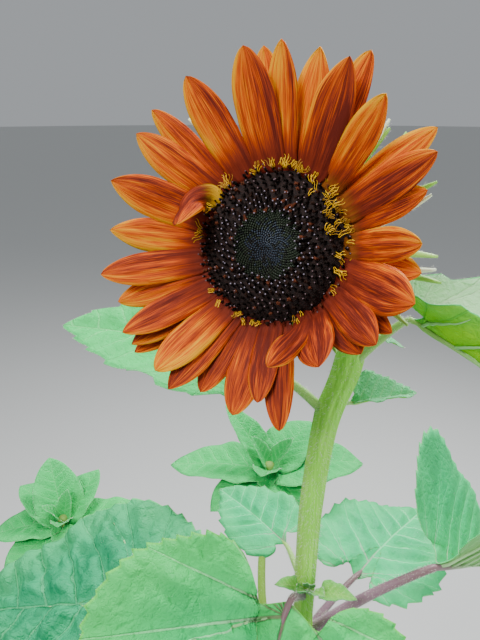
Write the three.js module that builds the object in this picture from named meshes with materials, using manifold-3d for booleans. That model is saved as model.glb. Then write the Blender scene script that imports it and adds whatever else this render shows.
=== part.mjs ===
// A sunflower plant in flower, about 1.5 m tall: one upright stem with a bronze-red head that
// faces forward, its leaves, and two side branches that end in young leaf clusters.
// Millimetres, +Z up, origin at the middle of the stem's flat cut at ground level, -Y to the front.
import * as THREE from 'three';
import { mergeVertices } from 'three/addons/utils/BufferGeometryUtils.js';
import Module from 'manifold-3d';

const wasm = await Module();
wasm.setup();

const { cos, sin, hypot, PI } = Math;
const radians = THREE.MathUtils.degToRad;
const point = (x, y, z) => new THREE.Vector3(x, y, z);

// Clearance that touching pieces keep.
const GAP = 0.3;

// Head: its centre stands on the seed disc's rim plane, and it faces forward, up and to the left.
const HEAD_CENTRE = point(-37, -55, 1438);
const HEAD_TURN = -24;
const HEAD_TILT = 17;
const DISC_RADIUS = 36;
const DISC_HEIGHT = 11;
const DISC_EDGE = 4;
const RECEPTACLE_DEPTH = 28;
const NECK_RADIUS = 11.5;

// Stem radii: it flares at the ground, tapers to its thinnest below the head and thickens at the neck.
const FLARE_RADIUS = 19;
const FLARE_HEIGHT = 55;
const FOOT_RADIUS = 12.5;
const TOP_RADIUS = 7.2;
const TAPER_END = 0.8;
const FOOT_LEVELLED = 2;
const NECK_LENGTH = 165;

const headFrame = new THREE.Group();
headFrame.position.copy(HEAD_CENTRE);
headFrame.rotation.z = radians(HEAD_TURN);
const headTilt = new THREE.Group();
headTilt.rotation.x = radians(90 - HEAD_TILT);
headFrame.add(headTilt);
headFrame.updateMatrixWorld(true);
const headAxis = point(0, 0, 1).transformDirection(headTilt.matrixWorld);

const plant = new THREE.Group();

// Finishes.
const finish = (color, roughness) => new THREE.MeshStandardMaterial({ color, roughness, metalness: 0 });
const stemGreen = finish(0x8aa84a, 0.6);
const leafGreen = finish(0x5fa860, 0.55);
const youngGreen = finish(0x6fc08a, 0.5);
const bractGreen = finish(0x9dbb78, 0.6);
const petalBronze = finish(0xb5491c, 0.5);
const discBrown = finish(0x2a1712, 0.7);

// Closed meshes to solids and back, for joins and cuts.
function weld(geometry) {
  const plain = geometry.clone();
  plain.deleteAttribute('normal');
  plain.deleteAttribute('uv');
  return mergeVertices(plain, 1e-4);
}

function solidOf(geometry) {
  const plain = weld(geometry);
  return new wasm.Manifold(new wasm.Mesh({
    numProp: 3,
    vertProperties: new Float32Array(plain.attributes.position.array),
    triVerts: new Uint32Array(plain.index.array),
  }));
}

function geometryOf(solid) {
  const mesh = solid.getMesh();
  const geometry = new THREE.BufferGeometry();
  geometry.setAttribute('position', new THREE.BufferAttribute(mesh.vertProperties, 3));
  geometry.setIndex(new THREE.BufferAttribute(mesh.triVerts, 1));
  geometry.computeVertexNormals();
  return geometry;
}

function addPiece(parent, name, geometry, material) {
  const mesh = new THREE.Mesh(geometry, material);
  mesh.name = name;
  parent.add(mesh);
  return mesh;
}

// A round limb: a closed cylinder whose rings are set along a curve with their own radius.
// The spacing says how far along the curve each ring lies.
const evenly = (step) => step;
const closerAtEnds = (step) => (1 - cos(PI * step)) / 2;
const FRAME_STEPS = 400;

function limb(curve, radiusAt, sides, steps, spacing = evenly) {
  const geometry = new THREE.CylinderGeometry(1, 1, 1, sides, steps);
  const frames = curve.computeFrenetFrames(FRAME_STEPS, false);
  const position = geometry.attributes.position;
  for (let i = 0; i < position.count; i += 1) {
    const along = spacing(0.5 - position.getY(i));
    const frame = Math.round(along * FRAME_STEPS);
    const radius = radiusAt(along);
    const place = curve.getPointAt(along);
    place.addScaledVector(frames.normals[frame], position.getX(i) * radius);
    place.addScaledVector(frames.binormals[frame], position.getZ(i) * radius);
    position.setXYZ(i, place.x, place.y, place.z);
  }
  return geometry;
}

// Stem: upright with a slight sway, hooked at the top so that it meets the head from behind.
const headBack = HEAD_CENTRE.clone().addScaledVector(headAxis, -RECEPTACLE_DEPTH - GAP);
const stemCurve = new THREE.CatmullRomCurve3([
  point(0, 0, 0),
  point(0, 0, 60),
  point(2, 1, 180),
  point(7, 5, 420),
  point(5, 4, 700),
  point(-3, 1, 960),
  point(-3.5, 0, 1160),
  point(-2, 0, 1245),
  point(4.8, 0, 1312),
  point(14.5, 1, 1348),
  point(19.5, 4.5, 1376),
  point(12, 9, 1405),
  headBack.clone().addScaledVector(headAxis, -16),
  headBack,
], false, 'centripetal');
const stemLength = stemCurve.getLength();

function stemRadius(along) {
  const fromGround = along * stemLength;
  const fromHead = stemLength - fromGround;
  const taper = FOOT_RADIUS + (TOP_RADIUS - FOOT_RADIUS) * Math.min(1, along / TAPER_END);
  const flare = (FLARE_RADIUS - FOOT_RADIUS) * Math.max(0, 1 - fromGround / FLARE_HEIGHT) ** 2;
  const neck = (NECK_RADIUS - TOP_RADIUS) * Math.max(0, 1 - fromHead / NECK_LENGTH);
  return taper + flare + neck;
}

function stemBody(extra) {
  const geometry = limb(stemCurve, (along) => stemRadius(along) + extra, 12, 28, closerAtEnds);
  const position = geometry.attributes.position;
  for (let i = 0; i < position.count; i += 1) {
    if (position.getZ(i) < FOOT_LEVELLED) position.setZ(i, 0);
  }
  return geometry;
}

function stemPointAt(height) {
  let low = 0;
  let high = 1;
  for (let i = 0; i < 40; i += 1) {
    const middle = (low + high) / 2;
    if (stemCurve.getPointAt(middle).z < height) low = middle;
    else high = middle;
  }
  return stemCurve.getPointAt(low);
}

addPiece(plant, 'stem', stemBody(0), stemGreen);
const stemClearance = solidOf(stemBody(GAP));

// Seed disc: a low dome with a shallow hollow in the middle, turned round the head's axis.
function turned(profile, sides) {
  const geometry = new THREE.LatheGeometry(profile.map(([r, z]) => new THREE.Vector2(r, z)), sides);
  geometry.rotateX(PI / 2);
  return geometry;
}

// The disc is highest on a ring near its rim and sinks a little towards its middle, which is in bud.
const DISC_SIDES = 28;
const DISC_LIP = 1.5;
const SHOULDER_HEIGHT = DISC_HEIGHT * 0.6;
const BUD_ZONE_HEIGHT = DISC_HEIGHT * 0.8;
const MIDDLE_HEIGHT = DISC_HEIGHT * 0.76;
addPiece(headTilt, 'seed_disc', turned([
  [0, -DISC_EDGE],
  [DISC_RADIUS, -DISC_EDGE],
  [DISC_RADIUS, DISC_LIP],
  [DISC_RADIUS - 4, SHOULDER_HEIGHT],
  [DISC_RADIUS - 11, DISC_HEIGHT],
  [DISC_RADIUS / 2, DISC_HEIGHT * 0.95],
  [DISC_RADIUS / 4, BUD_ZONE_HEIGHT],
  [0, MIDDLE_HEIGHT],
], DISC_SIDES), discBrown);

// Green cup behind the disc, with a ring of pointed bracts that flare back behind the petals.
const BRACTS = 14;
const BRACT_REACH = 15;
const BRACT_FALL = 0.75;
function bractCup() {
  const perBract = 4;
  const rows = [
    [0, -RECEPTACLE_DEPTH, 0],
    [NECK_RADIUS + 1, -RECEPTACLE_DEPTH, 0],
    [26, -17, 0],
    [34, -9.5, 0.25],
    [37, -7.5, 1],
    [35.5, -DISC_EDGE - GAP, 0.1],
    [0, -DISC_EDGE - GAP, 0],
  ];
  const geometry = turned(rows.map(([r, z]) => [r, z]), BRACTS * perBract);
  const position = geometry.attributes.position;
  for (let i = 0; i < position.count; i += 1) {
    const x = position.getX(i);
    const y = position.getY(i);
    const z = position.getZ(i);
    const r = hypot(x, y);
    const row = rows.find(([rowR, rowZ]) => Math.abs(rowR - r) < 0.01 && Math.abs(rowZ - z) < 0.01);
    if (r < 1 || !row) continue;
    const turn = (Math.atan2(y, x) / (2 * PI)) * BRACTS;
    const point01 = 1 - 2 * Math.abs(turn - Math.round(turn));
    const reach = BRACT_REACH * row[2] * point01;
    position.setXYZ(i, x * (1 + reach / r), y * (1 + reach / r), z - reach * BRACT_FALL);
  }
  return geometry;
}
addPiece(headTilt, 'bract_cup', bractCup(), bractGreen);

// Petals (ray florets). Each is listed clockwise from the top of the head, as seen from the front:
// where it stands, its length and width, and how far forward its row lies.
const PETAL_BASE_RADIUS = DISC_RADIUS + GAP;
const ROWS = {
  front: { height: 0.9, lift: 39 },
  middle: { height: -0.9, lift: 33 },
  back: { height: -2.6, lift: 27 },
};
const PETALS = [
  { at: 350, length: 51.5, width: 20, row: 'front' },
  { at: 353, length: 51.5, width: 19, row: 'back' },
  { at: 0.5, length: 52, width: 15, row: 'middle' },
  { at: 10.5, length: 50.5, width: 18, row: 'back' },
  { at: 23, length: 51, width: 18.5, row: 'front' },
  { at: 24.5, length: 55, width: 15, row: 'back' },
  { at: 38, length: 48, width: 15, row: 'middle', lift: 8 },
  { at: 52, length: 50, width: 15, row: 'back' },
  { at: 60, length: 49.5, width: 15.5, row: 'front' },
  { at: 68, length: 40, width: 14, row: 'middle', lift: 4 },
  { at: 85, length: 39.5, width: 14.5, row: 'front', lift: 6 },
  { at: 94, length: 36, width: 14.5, row: 'back', lift: 8 },
  { at: 103.5, length: 44, width: 20.5, row: 'front', lift: 6 },
  { at: 116.5, length: 35, width: 12, row: 'back', lift: 8 },
  { at: 121, length: 39.5, width: 16, row: 'front', lift: 8 },
  { at: 129, length: 32.5, width: 17, row: 'middle', lift: 6 },
  { at: 143, length: 35, width: 19, row: 'middle', lift: 25 },
  { at: 148, length: 38, width: 10.5, row: 'front', lift: 26, sweep: 52 },
  { at: 167, length: 50, width: 14, row: 'back' },
  { at: 174, length: 38, width: 14.5, row: 'middle' },
  { at: 182.5, length: 46, width: 14.5, row: 'back' },
  { at: 199.5, length: 42, width: 12, row: 'back' },
  { at: 206, length: 48.5, width: 16, row: 'middle' },
  { at: 213, length: 46, width: 17.5, row: 'front' },
  { at: 225, length: 50.5, width: 14, row: 'back' },
  { at: 227, length: 48.5, width: 14.5, row: 'middle' },
  { at: 231, length: 48, width: 15, row: 'front' },
  { at: 243, length: 46, width: 15, row: 'middle' },
  { at: 253, length: 49, width: 16, row: 'front' },
  { at: 269, length: 45.5, width: 16.5, row: 'middle' },
  { at: 286, length: 48, width: 19, row: 'front' },
  { at: 302, length: 36, width: 9, row: 'front', lift: 26, sweep: -135 },
  { at: 303.5, length: 49, width: 17, row: 'middle' },
  { at: 312, length: 51.5, width: 14, row: 'back' },
  { at: 329.5, length: 49.5, width: 17.5, row: 'front' },
];
const PETAL_BEND = 15;
const PETAL_THICKNESS = 0.9;
const PETAL_ARCH = 0.16;
const PETAL_RINGS = 7;
const PETAL_ROOT_SHARE = 0.012;
const PETAL_RING_SPREAD = 0.95;

function petalHalfWidth(s, width) {
  const claw = 0.17 + 0.33 * Math.min(1, s / 0.5) ** 1.3;
  const tipTaper = s < 0.55 ? 1 : Math.sqrt(Math.max(0, 1 - ((s - 0.55) / 0.45) ** 2));
  return width * claw * tipTaper;
}

function petal({ length, width, row, lift = 0, sweep = 0 }) {
  const geometry = new THREE.SphereGeometry(1, 6, PETAL_RINGS);
  const position = geometry.attributes.position;
  const startLift = ROWS[row].lift + lift;
  const first = 1 / PETAL_RINGS;
  for (let i = 0; i < position.count; i += 1) {
    const down = Math.acos(THREE.MathUtils.clamp(position.getY(i), -1, 1)) / PI;
    const ringSize = sin(down * PI);
    const across = ringSize > 1e-6 ? position.getX(i) / ringSize : 0;
    const through = ringSize > 1e-6 ? -position.getZ(i) / ringSize : 0;
    const outward = Math.max(0, (down - first) / (1 - first)) ** PETAL_RING_SPREAD;
    const s = down < first / 2 ? 0 : PETAL_ROOT_SHARE + (1 - PETAL_ROOT_SHARE) * outward;
    const place = petalPlace(s, length, startLift, sweep);
    const half = petalHalfWidth(s, width);
    const arch = PETAL_ARCH * half * across * across;
    const offset = (PETAL_THICKNESS / 2) * (1 - 0.6 * s) * through - arch;
    position.setXYZ(
      i,
      place.x + across * half * cos(place.heading) - offset * sin(place.lift) * sin(place.heading),
      place.y - across * half * sin(place.heading) - offset * sin(place.lift) * cos(place.heading),
      place.z + offset * cos(place.lift) + ROWS[row].height,
    );
  }
  return geometry;
}

// The middle line of a petal: it rises at its lift, bends back a little and may sweep sideways.
function petalPlace(s, length, startLift, sweep) {
  const steps = 16;
  const place = { x: 0, y: PETAL_BASE_RADIUS, z: 0, lift: radians(startLift), heading: 0 };
  for (let i = 0; i < steps; i += 1) {
    const here = (s * (i + 0.5)) / steps;
    place.lift = radians(startLift - PETAL_BEND * here);
    place.heading = radians(sweep * Math.min(1, here * 2));
    const step = (length * s) / steps;
    place.x += step * cos(place.lift) * sin(place.heading);
    place.y += step * cos(place.lift) * cos(place.heading);
    place.z += step * sin(place.lift);
  }
  return place;
}

PETALS.forEach((shape, i) => {
  const name = `petal_${String(i + 1).padStart(2, '0')}`;
  const mesh = addPiece(headTilt, name, petal(shape), petalBronze);
  mesh.rotation.z = radians(-shape.at);
});

// Leaves. Angles round the stem run anticlockwise seen from above: 0 right, 90 back, 180 left and
// 270 front. The stalk leaves the stem at its height and rises to the blade's base. The blade's
// midrib heads off at its own angle and pitch, and droops to the tip.
const LEAVES = [
  { name: 'leaf_upper_left', height: 1313, around: 169, rise: 36, stalk: 58, thick: 3,
    length: 134, width: 110, heading: 171, pitch: 15, droop: 22, bank: -17, fold: 15, lobes: 0.4 },
  { name: 'leaf_upper_right', height: 1345, around: 330, rise: 49, stalk: 55, thick: 2.8,
    length: 140, width: 80, heading: -40, pitch: -18, droop: 19, bank: 11, fold: 66, lobes: 0.8 },
  { name: 'leaf_small_right', height: 1318, around: 8, rise: 15, stalk: 13, thick: 2,
    length: 45, width: 40, heading: 8, pitch: 6, droop: 6, bank: 8, fold: 38, lobes: 0 },
  { name: 'leaf_tiny_right', height: 1360, around: 62, rise: 5, stalk: 22, thick: 1.6,
    length: 34, width: 16, heading: 10, pitch: -20, droop: 8, bank: 10, fold: 20, lobes: 0 },
  { name: 'leaf_front', height: 1155, around: 244, rise: 41, stalk: 43, thick: 3.2,
    length: 207, width: 254, heading: 249, pitch: -25, droop: 35, bank: -30, fold: 6, lobes: 0.7 },
  { name: 'leaf_mid_right', height: 1112, around: 1, rise: 36, stalk: 118, thick: 4,
    length: 142, width: 215, heading: 38, pitch: -29, droop: 8, bank: -4, fold: 60, lobes: 0.7 },
  { name: 'leaf_low_left', height: 1050, around: 165, rise: 25, stalk: 137, thick: 3.6,
    length: 220, width: 218, heading: 169, pitch: -12, droop: 14, bank: -15, fold: -3, lobes: 1 },
  { name: 'leaf_rear_left', height: 1160, around: 112, rise: 26, stalk: 36, thick: 2.4,
    length: 90, width: 66, heading: 130, pitch: 6, droop: 18, bank: -12, fold: 8, lobes: 0.4 },
  { name: 'leaf_rear_right', height: 1108, around: 42, rise: 14, stalk: 70, thick: 3,
    length: 150, width: 118, heading: 48, pitch: 0, droop: 25, bank: 6, fold: 8, lobes: 0.8 },
  { name: 'leaf_lower_1', height: 955, around: 306, rise: 22, stalk: 108, thick: 3.6,
    length: 222, width: 200, heading: 303, pitch: 1, droop: 40, bank: 4, fold: 10, lobes: 0.9 },
  { name: 'leaf_lower_2', height: 850, around: 35, rise: 20, stalk: 105, thick: 3.8,
    length: 215, width: 200, heading: 30, pitch: 0, droop: 45, bank: -8, fold: 8, lobes: 1 },
  { name: 'leaf_lower_3', height: 740, around: 230, rise: 20, stalk: 105, thick: 3.8,
    length: 215, width: 190, heading: 226, pitch: -4, droop: 48, bank: 8, fold: 10, lobes: 1 },
  { name: 'leaf_lower_4', height: 610, around: 335, rise: 16, stalk: 95, thick: 3.6,
    length: 190, width: 165, heading: 338, pitch: -8, droop: 50, bank: -6, fold: 10, lobes: 1 },
  { name: 'leaf_lower_5', height: 480, around: 120, rise: 12, stalk: 90, thick: 3.4,
    length: 165, width: 140, heading: 122, pitch: -12, droop: 50, bank: 6, fold: 12, lobes: 1 },
  { name: 'leaf_lower_6', height: 345, around: 255, rise: 8, stalk: 70, thick: 3,
    length: 120, width: 95, heading: 250, pitch: -18, droop: 48, bank: 4, fold: 12, lobes: 0.8 },
];

// A blade's outline on its flat pattern, half its width and its whole length as one: from the stalk
// over the notch and the lobe beside it to the widest place, on to the tip and back the other side.
// Lobes of 1 reach back past the stalk like a heart's, and lobes of 0 not at all.
function bladeOutline(lobes, count) {
  const flat = (x, y) => new THREE.Vector2(x, y);
  const notch = flat(0.2, 0.09 - 0.06 * lobes);
  const lobeEnd = flat(0.62, 0.11 - 0.22 * lobes);
  const widest = flat(0.97, 0.32 - 0.04 * lobes);
  const bends = [
    [flat(0, 0), flat(0.07, 0.02), flat(0.16, 0.06), notch],
    [notch, flat(0.24, 0.09 - 0.2 * lobes), flat(0.44, 0.09 - 0.3 * lobes), lobeEnd],
    [lobeEnd, flat(0.82, 0.13 - 0.16 * lobes), flat(1.02, 0.2 - 0.1 * lobes), widest],
    [widest, flat(0.84, 0.64), flat(0.3, 0.84), flat(0, 1)],
  ];
  const path = new THREE.CurvePath();
  bends.forEach((bend) => path.add(new THREE.CubicBezierCurve(...bend)));
  const half = path.getSpacedPoints(count);
  const otherSide = half.slice(1, -1).reverse().map((p) => flat(-p.x, p.y));
  return [...half, ...otherSide];
}

// Where a point of the flat blade lies once the blade is folded along its midrib, with the fold's
// bottom rounded, and drooped along an arc.
const FOLD_ROUNDING = 2;
function bladePlace(leaf, x, y, lift) {
  const arc = radians(leaf.droop);
  const sag = (arc * Math.max(0, y)) / leaf.length;
  const reach = (sin(sag) / arc) * leaf.length;
  const drop = ((1 - cos(sag)) / arc) * leaf.length;
  const foldAngle = radians(leaf.fold);
  const side = hypot(x, FOLD_ROUNDING) - FOLD_ROUNDING;
  const height = side * sin(foldAngle) + lift;
  return point(
    x * cos(foldAngle),
    reach + Math.min(0, y) + height * sin(sag),
    -drop + height * cos(sag),
  );
}

function bladeFrame(leaf, base) {
  const frame = new THREE.Matrix4().makeRotationZ(radians(leaf.heading - 90));
  frame.multiply(new THREE.Matrix4().makeRotationX(radians(leaf.pitch)));
  frame.multiply(new THREE.Matrix4().makeRotationY(radians(leaf.bank)));
  frame.setPosition(base);
  return frame;
}

// A blade is a flattened ball whose rings follow the outline, each drawn in towards a middle place.
const BLADE_THICKNESS = 2;
const BLADE_MIDDLE = 0.34;
function blade(leaf, base) {
  const around = 18;
  const outline = bladeOutline(leaf.lobes, around / 2);
  const geometry = new THREE.SphereGeometry(1, around, 6);
  const position = geometry.attributes.position;
  const frame = bladeFrame(leaf, base);
  for (let i = 0; i < position.count; i += 1) {
    const px = position.getX(i);
    const pz = position.getZ(i);
    const turn = (Math.atan2(pz, px) / (2 * PI)) * around;
    const edge = outline[(Math.round(turn) + around) % around];
    const spread = hypot(px, pz);
    const x = (edge.x * spread * leaf.width) / 2;
    const y = (BLADE_MIDDLE + (edge.y - BLADE_MIDDLE) * spread) * leaf.length;
    const place = bladePlace(leaf, x, y, (-position.getY(i) * BLADE_THICKNESS) / 2);
    place.applyMatrix4(frame);
    position.setXYZ(i, place.x, place.y, place.z);
  }
  return geometry;
}

function polar(length, around, rise) {
  const flat = length * cos(radians(rise));
  return point(flat * cos(radians(around)), flat * sin(radians(around)), length * sin(radians(rise)));
}

// A leaf is its stalk and blade in one piece, cut to fit the stem. The stalk arches a little and
// runs on under the blade as the start of its midrib, a little off the blade's middle line.
const STALK_ARCH = 0.05;
const STALK_RUN_ON = 18;
const STALK_DRIFT = 4;
const STALK_DIP = 0.6;
const stalkRadius = (leaf, along) => leaf.thick * (1.25 - 0.65 * along);
function leafBody(leaf) {
  const root = stemPointAt(leaf.height);
  const base = root.clone().add(polar(leaf.stalk, leaf.around, leaf.rise));
  const ridge = polar(1, leaf.heading + STALK_DRIFT, leaf.pitch - STALK_DRIFT);
  const runOn = Math.min(STALK_RUN_ON, leaf.length * 0.2);
  const curve = new THREE.CatmullRomCurve3([
    root,
    root.clone().lerp(base, 0.5).add(point(0, 0, leaf.stalk * STALK_ARCH)),
    base.clone().add(point(0, 0, -STALK_DIP)),
    base.clone().addScaledVector(ridge, runOn),
  ]);
  const stalk = limb(curve, (along) => stalkRadius(leaf, along), 6, 4);
  const whole = solidOf(blade(leaf, base)).add(solidOf(stalk)).subtract(stemClearance);
  const bodies = whole.decompose();
  bodies.sort((a, b) => b.volume() - a.volume());
  return geometryOf(bodies[0]);
}

const YOUNG_FROM_HEIGHT = 1250;
LEAVES.forEach((leaf) => {
  const young = leaf.height > YOUNG_FROM_HEIGHT;
  addPiece(plant, leaf.name, leafBody(leaf), young ? youngGreen : leafGreen);
});

// Side branches: each leaves the stem, curves up and ends in a cluster of young leaves round a bud.
const BRANCHES = [
  { name: 'rear', thick: 4.6, cluster: point(-22, 155, 1152), spread: 100, depth: 22, turn: 20,
    route: [point(3, 2, 860), point(-10, 48, 935), point(-30, 100, 1040), point(-24, 149, 1135)] },
  { name: 'left', thick: 4.6, cluster: point(-256, 192, 1050), spread: 92, depth: 22, turn: 50,
    route: [point(4, 3, 745), point(-95, 62, 830), point(-205, 140, 925), point(-255, 187, 1032)] },
];

function branchBody(branch, extra) {
  const curve = new THREE.CatmullRomCurve3(branch.route);
  return limb(curve, (along) => branch.thick * (1.25 - 0.6 * along) + extra, 8, 12);
}

// A cluster is a flat, lumpy cushion with one lobe for each of its outer leaves, cupped upward.
const CLUSTER_LOBES = 5;
function clusterBody({ cluster, spread, depth, turn }) {
  const geometry = new THREE.SphereGeometry(1, 20, 6);
  const position = geometry.attributes.position;
  for (let i = 0; i < position.count; i += 1) {
    const x = position.getX(i);
    const y = -position.getZ(i);
    const z = position.getY(i);
    const flat = hypot(x, y);
    const around = Math.atan2(y, x) - radians(turn);
    const swell = 0.8 + 0.2 * cos(CLUSTER_LOBES * around);
    const cup = 0.7 * depth * flat * flat;
    position.setXYZ(
      i,
      cluster.x + x * spread * swell,
      cluster.y + y * spread * swell,
      cluster.z + z * depth * (1 - 0.45 * flat) + cup,
    );
  }
  return geometry;
}

BRANCHES.forEach((branch) => {
  const shape = solidOf(branchBody(branch, 0)).subtract(stemClearance);
  addPiece(plant, `branch_${branch.name}`, geometryOf(shape), stemGreen);
  const cluster = solidOf(clusterBody(branch)).subtract(solidOf(branchBody(branch, GAP)));
  addPiece(plant, `young_leaves_${branch.name}`, geometryOf(cluster), youngGreen);
});

// A woolly bud in the axil of the front leaf.
const BUD_CENTRE = point(3.5, -9.5, 1172);
const BUD_SIZE = point(6, 5, 9);
const bud = new THREE.SphereGeometry(1, 8, 6);
bud.scale(BUD_SIZE.x, BUD_SIZE.y, BUD_SIZE.z);
bud.translate(BUD_CENTRE.x, BUD_CENTRE.y, BUD_CENTRE.z);
addPiece(plant, 'axil_bud', geometryOf(solidOf(bud).subtract(stemClearance)), youngGreen);

plant.add(headFrame);

export default plant;
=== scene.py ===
import math
import random

import bmesh
import bpy
import numpy as np
from mathutils import Matrix, Vector, noise
from mathutils.geometry import interpolate_bezier


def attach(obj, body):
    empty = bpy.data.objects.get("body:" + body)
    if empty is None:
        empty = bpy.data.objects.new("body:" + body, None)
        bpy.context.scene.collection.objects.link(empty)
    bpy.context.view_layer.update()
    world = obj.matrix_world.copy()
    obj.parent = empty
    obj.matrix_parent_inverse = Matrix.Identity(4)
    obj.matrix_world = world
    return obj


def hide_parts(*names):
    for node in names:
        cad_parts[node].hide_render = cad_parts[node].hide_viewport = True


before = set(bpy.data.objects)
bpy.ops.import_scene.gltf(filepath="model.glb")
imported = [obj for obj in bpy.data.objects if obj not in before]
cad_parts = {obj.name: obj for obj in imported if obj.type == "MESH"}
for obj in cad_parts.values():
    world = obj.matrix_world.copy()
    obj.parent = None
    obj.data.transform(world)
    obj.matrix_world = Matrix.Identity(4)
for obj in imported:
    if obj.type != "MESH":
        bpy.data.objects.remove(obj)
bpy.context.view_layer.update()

# Camera: it looks down a little at the flower head from close in front, so the stem runs away
# below. The focal length is worked out from the picture's height in pixels.
FOCAL_PIXELS = 540
IMAGE_HEIGHT = 640
SENSOR = 36
CAMERA_PLACE = (-0.052, -0.300, 1.500)
CAMERA_DOWN = 22
camera_data = bpy.data.cameras.new("camera")
camera_data.sensor_width = SENSOR
camera_data.lens = SENSOR * FOCAL_PIXELS / IMAGE_HEIGHT
camera_data.clip_start = 0.01
camera = bpy.data.objects.new("camera", camera_data)
camera.location = CAMERA_PLACE
camera.rotation_euler = (math.radians(90 - CAMERA_DOWN), 0, 0)
scene = bpy.context.scene
scene.collection.objects.link(camera)
scene.camera = camera

# Studio: a wide pale floor, an even pale sky and four large soft lights. The one behind and above
# gives the leaves and bristles their light rims.
FLOOR_RADIUS = 40
shape = bmesh.new()
bmesh.ops.create_circle(shape, cap_ends=True, segments=64, radius=FLOOR_RADIUS)
floor_mesh = bpy.data.meshes.new("floor")
shape.to_mesh(floor_mesh)
shape.free()
floor_paint = bpy.data.materials.new("floor")
floor_paint.use_nodes = True
floor_shader = floor_paint.node_tree.nodes["Principled BSDF"]
floor_shader.inputs["Base Color"].default_value = (0.62, 0.63, 0.62, 1)
floor_shader.inputs["Roughness"].default_value = 0.9
floor_mesh.materials.append(floor_paint)
floor = bpy.data.objects.new("floor", floor_mesh)
scene.collection.objects.link(floor)

sky = bpy.data.worlds.new("studio")
scene.world = sky
sky.use_nodes = True
sky.node_tree.nodes["Background"].inputs["Color"].default_value = (0.86, 0.9, 0.94, 1)
sky.node_tree.nodes["Background"].inputs["Strength"].default_value = 0.42


def soft_light(name, place, target, size, watts):
    """A square lamp of the given size that faces its target."""
    lamp = bpy.data.lights.new(name, "AREA")
    lamp.size = size
    lamp.energy = watts
    holder = bpy.data.objects.new(name, lamp)
    holder.location = place
    holder.rotation_euler = (Vector(target) - Vector(place)).to_track_quat("-Z", "Y").to_euler()
    scene.collection.objects.link(holder)


LIGHT_TARGET = (0, -0.05, 1.4)
soft_light("key", (-1.1, -1.3, 2.9), LIGHT_TARGET, 0.8, 60)
soft_light("rim", (0.9, 1.5, 2.7), LIGHT_TARGET, 0.8, 95)
soft_light("fill", (1.3, -1.2, 0.9), LIGHT_TARGET, 0.9, 20)
soft_light("top", (-0.2, 0.1, 3.2), LIGHT_TARGET, 1.0, 30)

# Stem: one upright green stem, faintly ridged, that swells where a leaf stalk leaves it, flares at
# the ground and hooks over into the flower head. Places and sizes here and below are millimetres in
# the plant's frame, and each finished mesh is brought to metres once.
MM = 0.001
HEAD_CENTRE = Vector((-37, -55, 1438))
HEAD_TURN = math.radians(-24)
HEAD_TILT = math.radians(17)
RECEPTACLE_DEPTH = 28
NECK_RADIUS = 11.5
FLARE_RADIUS = 19
FLARE_HEIGHT = 55
FOOT_RADIUS = 12.5
TOP_RADIUS = 7.2
TAPER_END = 0.8
NECK_LENGTH = 165
NECK_STRAIGHT = 16
RIB_START = -25
RIB_LENGTH = 160
RIB_WIDTH = 0.42
STEM_SIDES = 54
STEM_RINGS = 380
MERGE_WITHIN = 1e-4
UP = Vector((0, 0, 1))
head_frame = (
    Matrix.Translation(HEAD_CENTRE)
    @ Matrix.Rotation(HEAD_TURN, 4, "Z")
    @ Matrix.Rotation(math.pi / 2 - HEAD_TILT, 4, "X")
)
head_axis = head_frame.to_3x3() @ UP
head_back = HEAD_CENTRE - head_axis * (RECEPTACLE_DEPTH + 0.3)

# Where each leaf stands. Angles round the stem run anticlockwise seen from above, 0 right and 270
# front. A stalk rises from the stem to the blade's base, and the midrib heads off from there. Kind
# is the finish, pucker how uneven the blade is, tooth_gap the distance between teeth (0 for none)
# and tooth their size as a share of the length.
LEAF_TERMS = (
    "height", "around", "rise", "stalk", "thick", "length", "width", "heading", "pitch", "droop",
    "bank", "fold", "lobes", "kind", "pucker", "tooth_gap", "tooth",
)
LEAVES = {
    "leaf_upper_left": (1313, 169, 36, 58, 3, 134, 110, 171, 15, 22, -17, 15, 0.4, "young", 1, 20, 0.024),
    # The upper right leaf's finish has painted sunlight on its top.
    "leaf_upper_right": (1345, 330, 49, 55, 2.8, 140, 80, -40, -18, 19, 11, 66, 0.8, "fresh", 1, 20, 0.024),
    # The two small leaves on the right have a green made paler with painted light.
    "leaf_small_right": (1318, 8, 15, 13, 2, 45, 40, 8, 6, 6, 8, 38, 0, "mint", 3.5, 5, 0.03),
    "leaf_tiny_right": (1360, 62, 5, 22, 1.6, 34, 16, 10, -20, 8, 10, 20, 0, "mint", 1, 0, 0),
    "leaf_front": (1155, 244, 41, 43, 3.2, 207, 254, 249, -25, 35, -30, 6, 0.7, "bright", 2.5, 10, 0.015),
    "leaf_mid_right": (1112, 1, 36, 118, 4, 142, 215, 38, -29, 8, -4, 60, 0.7, "minty", 1.1, 13, 0.024),
    "leaf_low_left": (
        1050, 165, 25, 137, 3.6, 220, 218, 169, -12, 14, -15, -3, 1, "crinkled", 3.6, 20, 0.015,
    ),
    "leaf_rear_left": (1160, 112, 26, 36, 2.4, 90, 66, 130, 6, 18, -12, 8, 0.4, "minty", 2.4, 14, 0.024),
    "leaf_rear_right": (1108, 42, 14, 70, 3, 150, 118, 48, 0, 25, 6, 8, 0.8, "minty", 2.2, 14, 0.024),
    "leaf_lower_1": (955, 306, 22, 108, 3.6, 222, 200, 303, 1, 40, 4, 10, 0.9, "bright", 1, 20, 0.024),
    "leaf_lower_2": (850, 35, 20, 105, 3.8, 215, 200, 30, 0, 45, -8, 8, 1, "crinkled", 3.6, 20, 0.015),
    "leaf_lower_3": (740, 230, 20, 105, 3.8, 215, 190, 226, -4, 48, 8, 10, 1, "crinkled", 3.6, 20, 0.015),
    "leaf_lower_4": (610, 335, 16, 95, 3.6, 190, 165, 338, -8, 50, -6, 10, 1, "crinkled", 3.6, 20, 0.015),
    "leaf_lower_5": (480, 120, 12, 90, 3.4, 165, 140, 122, -12, 50, 6, 12, 1, "crinkled", 3.6, 20, 0.015),
    "leaf_lower_6": (345, 255, 8, 70, 3, 120, 95, 250, -18, 48, 4, 12, 0.8, "crinkled", 3.6, 20, 0.015),
}
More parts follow.
